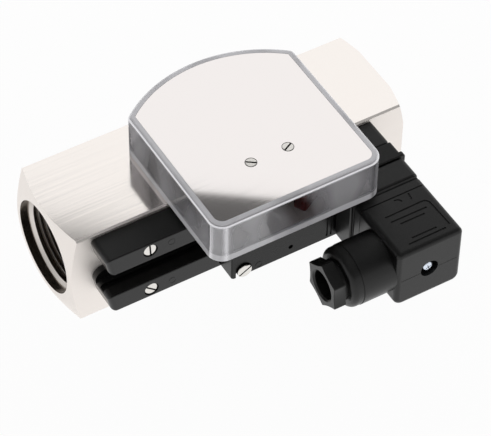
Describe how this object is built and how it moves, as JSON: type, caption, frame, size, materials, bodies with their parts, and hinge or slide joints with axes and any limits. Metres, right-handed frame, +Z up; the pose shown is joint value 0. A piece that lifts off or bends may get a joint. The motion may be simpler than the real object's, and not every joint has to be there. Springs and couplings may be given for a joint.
{
  "type": "variable area flow meter",
  "caption": "Square metal flow body with a threaded port at each end, a clear indicator head on top, and a rail-guided switch with a square plug connector in front.",
  "frame": {"origin": "on the flow axis where the inlet thread begins", "axes": "+X along the flow, +Z up through the indicator head, -Y towards the front with rails and plug"},
  "size_m": [0.1665, 0.1224, 0.0717],
  "materials": {
    "nickel_plated_brass": "polished nickel plate",
    "brass": "machined",
    "spring_steel": "ground",
    "plated_screw": "bright nickel plate",
    "polished_plate": "mirror polished",
    "clear_polycarbonate": "clear gloss",
    "black_plastic": "fine moulded grain",
    "grey_plastic": "satin moulded",
    "red_enamel": "satin enamel",
    "black_rubber": "matt",
    "magnet": "sintered",
    "clear_glass": "clear"
  },
  "bodies": {
    "meter": {"meter_body": "nickel_plated_brass", "slotted_nozzle": "brass", "inlet_retaining_ring": "spring_steel", "spring_seat": "brass", "outlet_retaining_ring": "spring_steel", "indicator_base": "grey_plastic", "base_screws": "plated_screw", "indicator_cover": "clear_polycarbonate", "dial_plate": "polished_plate", "cover_posts": "brass", "cover_screws": "plated_screw", "pivot_pin": "spring_steel", "pivot_clip": "spring_steel", "upper_rail": "black_plastic", "lower_rail": "black_plastic", "rail_screws": "plated_screw", "return_spring": "spring_steel"},
    "float_unit": {"float_piston": "brass", "float_magnet": "magnet", "magnet_cap": "brass"},
    "pointer_unit": {"pointer_hub": "brass", "pointer_blade": "red_enamel", "follower_magnet": "magnet"},
    "switch_unit": {"switch_carriage": "black_plastic", "clamp_insert": "brass", "reed_switch": "clear_glass", "plug_base": "black_plastic", "plug_nut": "brass", "contact_blades": "brass", "plug_gasket": "black_rubber", "terminal_block": "black_plastic", "contact_sockets": "brass", "connector_housing": "black_plastic", "gland_washer": "spring_steel", "gland_seal": "black_rubber"},
    "clamp_screw_unit": {"clamp_screw": "plated_screw"},
    "connector_screw_unit": {"connector_screw": "plated_screw"},
    "gland_nut_unit": {"gland_nut": "black_plastic"}
  },
  "joints": [
    {"name": "float_slide", "type": "slide", "parent": "meter", "child": "float_unit", "axis": [1, 0, 0], "range_m": [0, 0.04], "stiffness_N_per_m": 150, "springref_m": -0.01, "deforming": ["return_spring"]},
    {"name": "pointer_swing", "type": "hinge", "parent": "meter", "child": "pointer_unit", "pos_m": [0.0864, -0.0376, 0], "axis": [0, 0, 1], "range_deg": [-56.12, 0]},
    {"name": "switch_slide", "type": "slide", "parent": "meter", "child": "switch_unit", "axis": [1, 0, 0], "range_m": [-0.05, 0]},
    {"name": "clamp_screw_turn", "type": "hinge", "parent": "switch_unit", "child": "clamp_screw_unit", "pos_m": [0.0686, -0.0467, -0.0064], "axis": [0, -1, 0], "range_deg": [0, 720]},
    {"name": "connector_screw_turn", "type": "hinge", "parent": "switch_unit", "child": "connector_screw_unit", "pos_m": [0.1311, -0.0974, 0.00635], "axis": [0, -1, 0], "range_deg": [0, 720]},
    {"name": "gland_nut_turn", "type": "hinge", "parent": "switch_unit", "child": "gland_nut_unit", "pos_m": [0.0866, -0.0829, 0.00635], "axis": [-1, 0, 0], "range_deg": [0, 720]}
  ],
  "couplings": [
    {"joint": "pointer_swing", "follows": "float_slide", "rad_per_m": -24.443}
  ]
}
